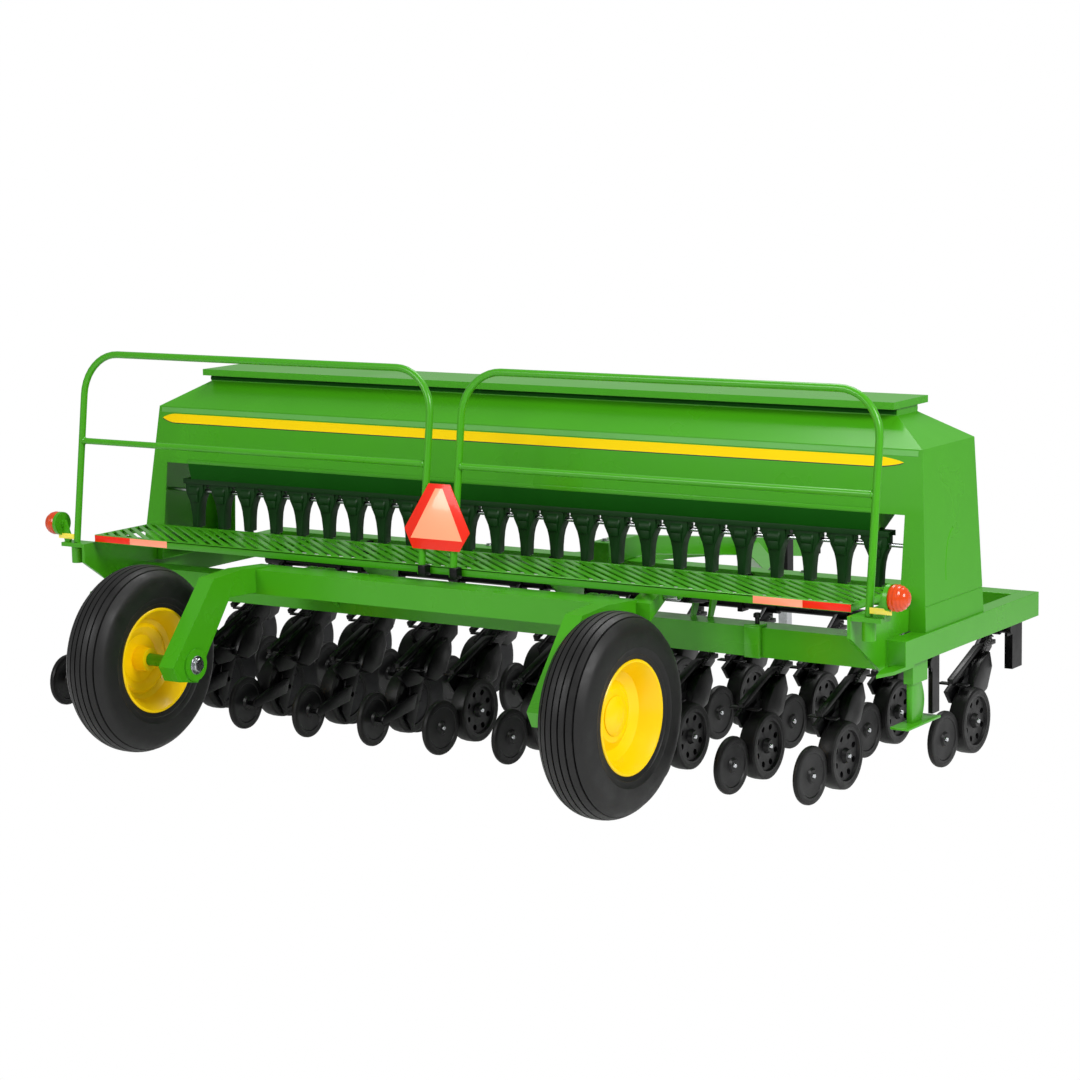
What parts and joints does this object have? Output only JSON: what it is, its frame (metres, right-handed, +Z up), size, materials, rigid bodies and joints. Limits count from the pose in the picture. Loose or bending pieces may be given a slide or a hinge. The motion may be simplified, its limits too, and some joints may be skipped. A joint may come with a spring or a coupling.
{
  "type": "grain drill",
  "caption": "Pull-type box grain drill: long hopper over seed cups, walkboard with guard rails, two ranks of disc openers, lifting transport wheels and a braced tongue.",
  "frame": {"origin": "on the ground, under the middle of the machine's overall length and width", "axes": "+X across the machine to its right side, +Y in the direction of travel, +Z up"},
  "size_m": [5.422, 5.256, 2.0318],
  "materials": {
    "green_paint": "satin green enamel",
    "yellow_paint": "gloss yellow enamel",
    "black_paint": "satin black enamel",
    "tyre_rubber": "matt black rubber",
    "zinc_steel": "bright zinc plate",
    "amber_lens": "amber moulded lens",
    "signal_film": "fluorescent film with a red retroreflective border"
  },
  "bodies": {
    "drill_frame": {"end_bracket_left": "green_paint", "end_bracket_right": "green_paint", "end_casing_left": "green_paint", "end_casing_right": "green_paint", "frame_front_tube": "green_paint", "frame_rear_tube": "green_paint", "front_opener_shaft": "black_paint", "handrail_left": "green_paint", "handrail_right": "green_paint", "hitch_clevis": "black_paint", "hopper_shell": "green_paint", "jack_tube": "black_paint", "lift_pivot_shaft": "zinc_steel", "marker_lamp_left": "amber_lens", "marker_lamp_right": "amber_lens", "rear_opener_shaft": "black_paint", "seed_cup_row": "black_paint", "side_rail_left": "green_paint", "side_rail_right": "green_paint", "slow_vehicle_sign": "signal_film", "tongue_beam": "green_paint", "tongue_brace_left": "green_paint", "tongue_brace_right": "green_paint", "walkboard": "green_paint"},
    "wheel_lift": {"lift_beam": "green_paint"},
    "left_wheel": {"tyre_left": "tyre_rubber", "wheel_rim_left": "yellow_paint"},
    "right_wheel": {"tyre_right": "tyre_rubber", "wheel_rim_right": "yellow_paint"},
    "lid": {"hopper_lid": "green_paint"},
    "jack_inner": {"jack_leg": "zinc_steel"},
    "left_stand": {"parking_stand_left": "green_paint"},
    "right_stand": {"parking_stand_right": "green_paint"},
    "meter_drive": {"meter_shaft": "zinc_steel"},
    "cylinder_barrel": {"lift_cylinder_barrel": "black_paint"},
    "cylinder_rod": {"lift_cylinder_rod": "zinc_steel"},
    "rear_opener_01_arm": {"rear_opener_01": "black_paint"},
    "rear_opener_02_arm": {"rear_opener_02": "black_paint"},
    "rear_opener_03_arm": {"rear_opener_03": "black_paint"},
    "rear_opener_04_arm": {"rear_opener_04": "black_paint"},
    "rear_opener_05_arm": {"rear_opener_05": "black_paint"},
    "rear_opener_06_arm": {"rear_opener_06": "black_paint"},
    "rear_opener_07_arm": {"rear_opener_07": "black_paint"},
    "rear_opener_08_arm": {"rear_opener_08": "black_paint"},
    "rear_opener_09_arm": {"rear_opener_09": "black_paint"},
    "rear_opener_10_arm": {"rear_opener_10": "black_paint"},
    "rear_opener_11_arm": {"rear_opener_11": "black_paint"},
    "rear_opener_12_arm": {"rear_opener_12": "black_paint"},
    "front_opener_01_arm": {"front_opener_01": "black_paint"},
    "front_opener_02_arm": {"front_opener_02": "black_paint"},
    "front_opener_03_arm": {"front_opener_03": "black_paint"},
    "front_opener_04_arm": {"front_opener_04": "black_paint"},
    "front_opener_05_arm": {"front_opener_05": "black_paint"},
    "front_opener_06_arm": {"front_opener_06": "black_paint"},
    "front_opener_07_arm": {"front_opener_07": "black_paint"},
    "front_opener_08_arm": {"front_opener_08": "black_paint"},
    "front_opener_09_arm": {"front_opener_09": "black_paint"},
    "front_opener_10_arm": {"front_opener_10": "black_paint"},
    "front_opener_11_arm": {"front_opener_11": "black_paint"},
    "front_opener_12_arm": {"front_opener_12": "black_paint"}
  },
  "joints": [
    {"name": "transport_lift", "type": "hinge", "parent": "drill_frame", "child": "wheel_lift", "pos_m": [0, -1.286, 0.86], "axis": [1, 0, 0], "range_deg": [0, 16]},
    {"name": "left_wheel_spin", "type": "hinge", "parent": "wheel_lift", "child": "left_wheel", "pos_m": [-1.468, -2.13, 0.498], "axis": [1, 0, 0], "continuous": true},
    {"name": "right_wheel_spin", "type": "hinge", "parent": "wheel_lift", "child": "right_wheel", "pos_m": [1.468, -2.13, 0.498], "axis": [1, 0, 0], "continuous": true},
    {"name": "lid_hinge", "type": "hinge", "parent": "drill_frame", "child": "lid", "pos_m": [0, -0.248, 1.836], "axis": [-1, 0, 0], "range_deg": [0, 100]},
    {"name": "jack_slide", "type": "slide", "parent": "drill_frame", "child": "jack_inner", "axis": [0, 0, -1], "range_m": [0, 0.2]},
    {"name": "left_stand_slide", "type": "slide", "parent": "drill_frame", "child": "left_stand", "axis": [0, 0, -1], "range_m": [0, 0.18]},
    {"name": "right_stand_slide", "type": "slide", "parent": "drill_frame", "child": "right_stand", "axis": [0, 0, -1], "range_m": [0, 0.18]},
    {"name": "meter_shaft_spin", "type": "hinge", "parent": "drill_frame", "child": "meter_drive", "pos_m": [0, -0.772, 1.178], "axis": [1, 0, 0], "continuous": true},
    {"name": "cylinder_swing", "type": "hinge", "parent": "drill_frame", "child": "cylinder_barrel", "pos_m": [1.325, -0.99, 0.88], "axis": [1, 0, 0], "range_deg": [0, 2.6]},
    {"name": "cylinder_stroke", "type": "slide", "parent": "cylinder_barrel", "child": "cylinder_rod", "axis": [0, -0.9861, 0.1664], "range_m": [0, 0.02]},
    {"name": "rear_opener_01_float", "type": "hinge", "parent": "drill_frame", "child": "rear_opener_01_arm", "pos_m": [-2.615, -0.816, 0.615], "axis": [-1, 0, 0], "range_deg": [0, 12]},
    {"name": "rear_opener_02_float", "type": "hinge", "parent": "drill_frame", "child": "rear_opener_02_arm", "pos_m": [-2.179, -0.816, 0.615], "axis": [-1, 0, 0], "range_deg": [0, 12]},
    {"name": "rear_opener_03_float", "type": "hinge", "parent": "drill_frame", "child": "rear_opener_03_arm", "pos_m": [-1.743, -0.816, 0.615], "axis": [-1, 0, 0], "range_deg": [0, 12]},
    {"name": "rear_opener_04_float", "type": "hinge", "parent": "drill_frame", "child": "rear_opener_04_arm", "pos_m": [-1.307, -0.816, 0.615], "axis": [-1, 0, 0], "range_deg": [0, 12]},
    {"name": "rear_opener_05_float", "type": "hinge", "parent": "drill_frame", "child": "rear_opener_05_arm", "pos_m": [-0.871, -0.816, 0.615], "axis": [-1, 0, 0], "range_deg": [0, 12]},
    {"name": "rear_opener_06_float", "type": "hinge", "parent": "drill_frame", "child": "rear_opener_06_arm", "pos_m": [-0.435, -0.816, 0.615], "axis": [-1, 0, 0], "range_deg": [0, 12]},
    {"name": "rear_opener_07_float", "type": "hinge", "parent": "drill_frame", "child": "rear_opener_07_arm", "pos_m": [0.001, -0.816, 0.615], "axis": [-1, 0, 0], "range_deg": [0, 12]},
    {"name": "rear_opener_08_float", "type": "hinge", "parent": "drill_frame", "child": "rear_opener_08_arm", "pos_m": [0.437, -0.816, 0.615], "axis": [-1, 0, 0], "range_deg": [0, 12]},
    {"name": "rear_opener_09_float", "type": "hinge", "parent": "drill_frame", "child": "rear_opener_09_arm", "pos_m": [0.873, -0.816, 0.615], "axis": [-1, 0, 0], "range_deg": [0, 12]},
    {"name": "rear_opener_10_float", "type": "hinge", "parent": "drill_frame", "child": "rear_opener_10_arm", "pos_m": [1.309, -0.816, 0.615], "axis": [-1, 0, 0], "range_deg": [0, 12]},
    {"name": "rear_opener_11_float", "type": "hinge", "parent": "drill_frame", "child": "rear_opener_11_arm", "pos_m": [1.745, -0.816, 0.615], "axis": [-1, 0, 0], "range_deg": [0, 12]},
    {"name": "rear_opener_12_float", "type": "hinge", "parent": "drill_frame", "child": "rear_opener_12_arm", "pos_m": [2.181, -0.816, 0.615], "axis": [-1, 0, 0], "range_deg": [0, 12]},
    {"name": "front_opener_01_float", "type": "hinge", "parent": "drill_frame", "child": "front_opener_01_arm", "pos_m": [-2.397, 0.194, 0.615], "axis": [-1, 0, 0], "range_deg": [0, 12]},
    {"name": "front_opener_02_float", "type": "hinge", "parent": "drill_frame", "child": "front_opener_02_arm", "pos_m": [-1.961, 0.194, 0.615], "axis": [-1, 0, 0], "range_deg": [0, 12]},
    {"name": "front_opener_03_float", "type": "hinge", "parent": "drill_frame", "child": "front_opener_03_arm", "pos_m": [-1.525, 0.194, 0.615], "axis": [-1, 0, 0], "range_deg": [0, 12]},
    {"name": "front_opener_04_float", "type": "hinge", "parent": "drill_frame", "child": "front_opener_04_arm", "pos_m": [-1.089, 0.194, 0.615], "axis": [-1, 0, 0], "range_deg": [0, 12]},
    {"name": "front_opener_05_float", "type": "hinge", "parent": "drill_frame", "child": "front_opener_05_arm", "pos_m": [-0.653, 0.194, 0.615], "axis": [-1, 0, 0], "range_deg": [0, 12]},
    {"name": "front_opener_06_float", "type": "hinge", "parent": "drill_frame", "child": "front_opener_06_arm", "pos_m": [-0.217, 0.194, 0.615], "axis": [-1, 0, 0], "range_deg": [0, 12]},
    {"name": "front_opener_07_float", "type": "hinge", "parent": "drill_frame", "child": "front_opener_07_arm", "pos_m": [0.219, 0.194, 0.615], "axis": [-1, 0, 0], "range_deg": [0, 12]},
    {"name": "front_opener_08_float", "type": "hinge", "parent": "drill_frame", "child": "front_opener_08_arm", "pos_m": [0.655, 0.194, 0.615], "axis": [-1, 0, 0], "range_deg": [0, 12]},
    {"name": "front_opener_09_float", "type": "hinge", "parent": "drill_frame", "child": "front_opener_09_arm", "pos_m": [1.091, 0.194, 0.615], "axis": [-1, 0, 0], "range_deg": [0, 12]},
    {"name": "front_opener_10_float", "type": "hinge", "parent": "drill_frame", "child": "front_opener_10_arm", "pos_m": [1.527, 0.194, 0.615], "axis": [-1, 0, 0], "range_deg": [0, 12]},
    {"name": "front_opener_11_float", "type": "hinge", "parent": "drill_frame", "child": "front_opener_11_arm", "pos_m": [1.963, 0.194, 0.615], "axis": [-1, 0, 0], "range_deg": [0, 12]},
    {"name": "front_opener_12_float", "type": "hinge", "parent": "drill_frame", "child": "front_opener_12_arm", "pos_m": [2.399, 0.194, 0.615], "axis": [-1, 0, 0], "range_deg": [0, 12]}
  ],
  "couplings": [
    {"joint": "cylinder_swing", "follows": "transport_lift", "ratio": 0.14671},
    {"joint": "cylinder_stroke", "follows": "transport_lift", "m_per_rad": 0.06328}
  ]
}
